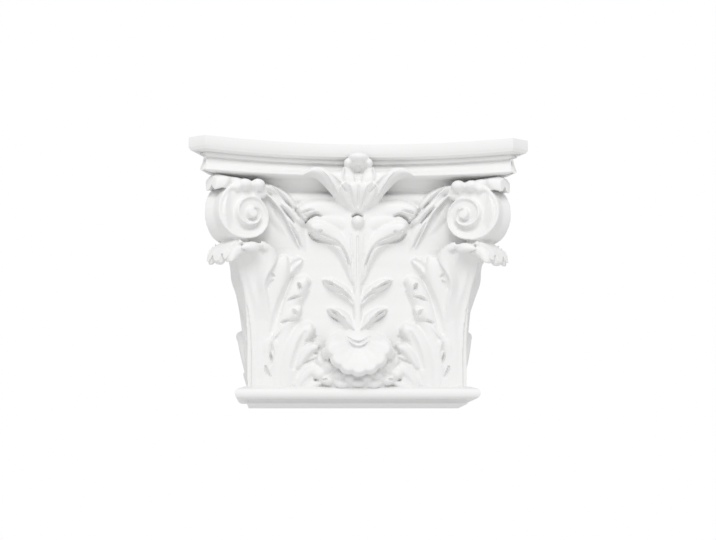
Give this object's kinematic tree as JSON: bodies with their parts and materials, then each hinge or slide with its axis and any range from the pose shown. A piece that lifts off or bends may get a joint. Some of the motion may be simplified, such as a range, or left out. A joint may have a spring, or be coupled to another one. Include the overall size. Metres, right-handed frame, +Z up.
{
  "type": "corinthian pilaster capital",
  "caption": "Cast capital for a flat pilaster: tapering bell with carved leaves and corner volutes under a moulded top slab, flat at the back, top and underside.",
  "frame": {"origin": "centre of the bounding box in plan, on the plane of the underside", "axes": "+X to the right across the width as seen from the front, +Y back towards the wall, +Z up; the carved front faces -Y"},
  "size_m": [0.344, 0.135, 0.265],
  "materials": {
    "white_cast": "smooth cast, factory-primed matt white"
  },
  "bodies": {
    "root": {"capital": "white_cast"}
  },
  "joints": []
}
